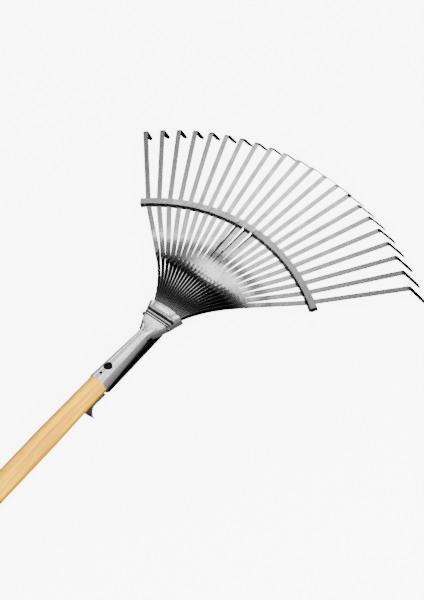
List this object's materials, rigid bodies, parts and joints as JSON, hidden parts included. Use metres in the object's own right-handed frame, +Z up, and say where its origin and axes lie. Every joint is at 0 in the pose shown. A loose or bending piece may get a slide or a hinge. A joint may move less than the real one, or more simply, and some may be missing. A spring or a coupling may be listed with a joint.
{
  "type": "adjustable leaf rake",
  "caption": "Adjustable steel leaf rake: flat spring tines fanned through a sliding crossbar, clamped in a sheet-metal socket on a long round wooden handle.",
  "frame": {"origin": "on the floor under the middle of the space the rake takes up, with the rake lying on its outer hook tips and the free end of its handle", "axes": "+Y along the handle towards the tine tips (the handle rises about 1.4 degrees towards the tines), +X across the fan, +Z up, away from the floor; hooks point down"},
  "size_m": [0.4688, 1.5578, 0.0557],
  "materials": {
    "handle_wood": "clear lacquer",
    "socket_plate": "bright zinc plate",
    "jaw_plate": "bright zinc plate",
    "pin_steel": "bright zinc plate",
    "guide_plate": "dull zinc plate",
    "screw_steel": "dark oxide",
    "bar_plate": "bright zinc plate",
    "strut_wire": "zinc plate",
    "lever_plate": "bright zinc plate",
    "tine_steel": "zinc-plated spring steel"
  },
  "bodies": {
    "head": {"handle": "handle_wood", "socket_tube": "socket_plate", "upper_jaw": "jaw_plate", "lower_jaw": "jaw_plate", "tine_pin": "pin_steel", "guide_channel": "guide_plate", "guide_rivet": "pin_steel", "guide_liner": "guide_plate", "handle_screw": "screw_steel", "handle_nail": "screw_steel"},
    "slider": {"crossbar": "bar_plate", "crossbar_doubler": "bar_plate", "strut_left": "strut_wire", "strut_middle": "strut_wire", "strut_right": "strut_wire", "strut_caps": "pin_steel", "slide_bar": "guide_plate", "strut_clip": "guide_plate", "clip_rivets": "pin_steel", "lever_pin": "pin_steel"},
    "lever": {"lock_lever": "lever_plate"},
    "tine_01": {"tine_01": "tine_steel"},
    "tine_02": {"tine_02": "tine_steel"},
    "tine_03": {"tine_03": "tine_steel"},
    "tine_04": {"tine_04": "tine_steel"},
    "tine_05": {"tine_05": "tine_steel"},
    "tine_06": {"tine_06": "tine_steel"},
    "tine_07": {"tine_07": "tine_steel"},
    "tine_08": {"tine_08": "tine_steel"},
    "tine_09": {"tine_09": "tine_steel"},
    "tine_10": {"tine_10": "tine_steel"},
    "tine_11": {"tine_11": "tine_steel"},
    "tine_12": {"tine_12": "tine_steel"},
    "tine_13": {"tine_13": "tine_steel"},
    "tine_14": {"tine_14": "tine_steel"},
    "tine_15": {"tine_15": "tine_steel"},
    "tine_16": {"tine_16": "tine_steel"},
    "tine_17": {"tine_17": "tine_steel"},
    "tine_18": {"tine_18": "tine_steel"},
    "tine_19": {"tine_19": "tine_steel"},
    "tine_20": {"tine_20": "tine_steel"},
    "tine_21": {"tine_21": "tine_steel"},
    "tine_22": {"tine_22": "tine_steel"}
  },
  "joints": [
    {"name": "spread_slide", "type": "slide", "parent": "head", "child": "slider", "axis": [0, 0.9997, 0.0246], "range_m": [0, 0.04]},
    {"name": "tine_01_hinge", "type": "hinge", "parent": "head", "child": "tine_01", "pos_m": [-0.01481, 0.47008, 0.04485], "axis": [-0.0492, -0.0246, 0.9985], "range_deg": [-7.98, 0.01]},
    {"name": "tine_02_hinge", "type": "hinge", "parent": "head", "child": "tine_02", "pos_m": [-0.0134, 0.47008, 0.04485], "axis": [-0.044, -0.0246, 0.9987], "range_deg": [-7.36, 0.01]},
    {"name": "tine_03_hinge", "type": "hinge", "parent": "head", "child": "tine_03", "pos_m": [-0.01199, 0.47008, 0.04485], "axis": [-0.0389, -0.0246, 0.9989], "range_deg": [-6.7, 0.01]},
    {"name": "tine_04_hinge", "type": "hinge", "parent": "head", "child": "tine_04", "pos_m": [-0.01057, 0.47008, 0.04485], "axis": [-0.034, -0.0246, 0.9991], "range_deg": [-6.02, 0.01]},
    {"name": "tine_05_hinge", "type": "hinge", "parent": "head", "child": "tine_05", "pos_m": [-0.00916, 0.47008, 0.04485], "axis": [-0.0293, -0.0246, 0.9993], "range_deg": [-5.29, 0.01]},
    {"name": "tine_06_hinge", "type": "hinge", "parent": "head", "child": "tine_06", "pos_m": [-0.00775, 0.47008, 0.04485], "axis": [-0.0246, -0.0246, 0.9994], "range_deg": [-4.52, 0.01]},
    {"name": "tine_07_hinge", "type": "hinge", "parent": "head", "child": "tine_07", "pos_m": [-0.00634, 0.47008, 0.04485], "axis": [-0.02, -0.0246, 0.9995], "range_deg": [-3.73, 0.01]},
    {"name": "tine_08_hinge", "type": "hinge", "parent": "head", "child": "tine_08", "pos_m": [-0.00494, 0.47008, 0.04485], "axis": [-0.0155, -0.0246, 0.9996], "range_deg": [-2.92, 0.01]},
    {"name": "tine_09_hinge", "type": "hinge", "parent": "head", "child": "tine_09", "pos_m": [-0.00352, 0.47008, 0.04485], "axis": [-0.0111, -0.0246, 0.9996], "range_deg": [-2.1, 0.01]},
    {"name": "tine_10_hinge", "type": "hinge", "parent": "head", "child": "tine_10", "pos_m": [-0.00212, 0.47008, 0.04485], "axis": [-0.0066, -0.0246, 0.9997], "range_deg": [-1.27, 0.01]},
    {"name": "tine_11_hinge", "type": "hinge", "parent": "head", "child": "tine_11", "pos_m": [-0.00071, 0.47008, 0.04485], "axis": [-0.0022, -0.0246, 0.9997], "range_deg": [-0.4303, 0.01]},
    {"name": "tine_12_hinge", "type": "hinge", "parent": "head", "child": "tine_12", "pos_m": [0.00071, 0.47008, 0.04485], "axis": [0.0022, -0.0246, 0.9997], "range_deg": [-0.01, 0.4303]},
    {"name": "tine_13_hinge", "type": "hinge", "parent": "head", "child": "tine_13", "pos_m": [0.00212, 0.47008, 0.04485], "axis": [0.0066, -0.0246, 0.9997], "range_deg": [-0.01, 1.27]},
    {"name": "tine_14_hinge", "type": "hinge", "parent": "head", "child": "tine_14", "pos_m": [0.00352, 0.47008, 0.04485], "axis": [0.0111, -0.0246, 0.9996], "range_deg": [-0.01, 2.1]},
    {"name": "tine_15_hinge", "type": "hinge", "parent": "head", "child": "tine_15", "pos_m": [0.00494, 0.47008, 0.04485], "axis": [0.0155, -0.0246, 0.9996], "range_deg": [-0.01, 2.92]},
    {"name": "tine_16_hinge", "type": "hinge", "parent": "head", "child": "tine_16", "pos_m": [0.00634, 0.47008, 0.04485], "axis": [0.02, -0.0246, 0.9995], "range_deg": [-0.01, 3.73]},
    {"name": "tine_17_hinge", "type": "hinge", "parent": "head", "child": "tine_17", "pos_m": [0.00775, 0.47008, 0.04485], "axis": [0.0246, -0.0246, 0.9994], "range_deg": [-0.01, 4.52]},
    {"name": "tine_18_hinge", "type": "hinge", "parent": "head", "child": "tine_18", "pos_m": [0.00916, 0.47008, 0.04485], "axis": [0.0293, -0.0246, 0.9993], "range_deg": [-0.01, 5.29]},
    {"name": "tine_19_hinge", "type": "hinge", "parent": "head", "child": "tine_19", "pos_m": [0.01057, 0.47008, 0.04485], "axis": [0.034, -0.0246, 0.9991], "range_deg": [-0.01, 6.02]},
    {"name": "tine_20_hinge", "type": "hinge", "parent": "head", "child": "tine_20", "pos_m": [0.01199, 0.47008, 0.04485], "axis": [0.0389, -0.0246, 0.9989], "range_deg": [-0.01, 6.7]},
    {"name": "tine_21_hinge", "type": "hinge", "parent": "head", "child": "tine_21", "pos_m": [0.0134, 0.47008, 0.04485], "axis": [0.044, -0.0246, 0.9987], "range_deg": [-0.01, 7.36]},
    {"name": "tine_22_hinge", "type": "hinge", "parent": "head", "child": "tine_22", "pos_m": [0.01481, 0.47008, 0.04485], "axis": [0.0492, -0.0246, 0.9985], "range_deg": [-0.01, 7.98]},
    {"name": "lever_hinge", "type": "hinge", "parent": "slider", "child": "lever", "pos_m": [0, 0.36862, 0.02155], "axis": [1, 0, 0], "range_deg": [0, 60]}
  ],
  "couplings": [
    {"joint": "tine_01_hinge", "follows": "spread_slide", "rad_per_m": -3.4105},
    {"joint": "tine_02_hinge", "follows": "spread_slide", "rad_per_m": -3.1441},
    {"joint": "tine_03_hinge", "follows": "spread_slide", "rad_per_m": -2.8598},
    {"joint": "tine_04_hinge", "follows": "spread_slide", "rad_per_m": -2.5721},
    {"joint": "tine_05_hinge", "follows": "spread_slide", "rad_per_m": -2.2566},
    {"joint": "tine_06_hinge", "follows": "spread_slide", "rad_per_m": -1.9292},
    {"joint": "tine_07_hinge", "follows": "spread_slide", "rad_per_m": -1.5918},
    {"joint": "tine_08_hinge", "follows": "spread_slide", "rad_per_m": -1.2463},
    {"joint": "tine_09_hinge", "follows": "spread_slide", "rad_per_m": -0.89462},
    {"joint": "tine_10_hinge", "follows": "spread_slide", "rad_per_m": -0.53853},
    {"joint": "tine_11_hinge", "follows": "spread_slide", "rad_per_m": -0.1798},
    {"joint": "tine_12_hinge", "follows": "spread_slide", "rad_per_m": 0.1798},
    {"joint": "tine_13_hinge", "follows": "spread_slide", "rad_per_m": 0.53853},
    {"joint": "tine_14_hinge", "follows": "spread_slide", "rad_per_m": 0.89462},
    {"joint": "tine_15_hinge", "follows": "spread_slide", "rad_per_m": 1.2463},
    {"joint": "tine_16_hinge", "follows": "spread_slide", "rad_per_m": 1.5918},
    {"joint": "tine_17_hinge", "follows": "spread_slide", "rad_per_m": 1.9292},
    {"joint": "tine_18_hinge", "follows": "spread_slide", "rad_per_m": 2.2566},
    {"joint": "tine_19_hinge", "follows": "spread_slide", "rad_per_m": 2.5721},
    {"joint": "tine_20_hinge", "follows": "spread_slide", "rad_per_m": 2.8598},
    {"joint": "tine_21_hinge", "follows": "spread_slide", "rad_per_m": 3.1441},
    {"joint": "tine_22_hinge", "follows": "spread_slide", "rad_per_m": 3.4105}
  ]
}
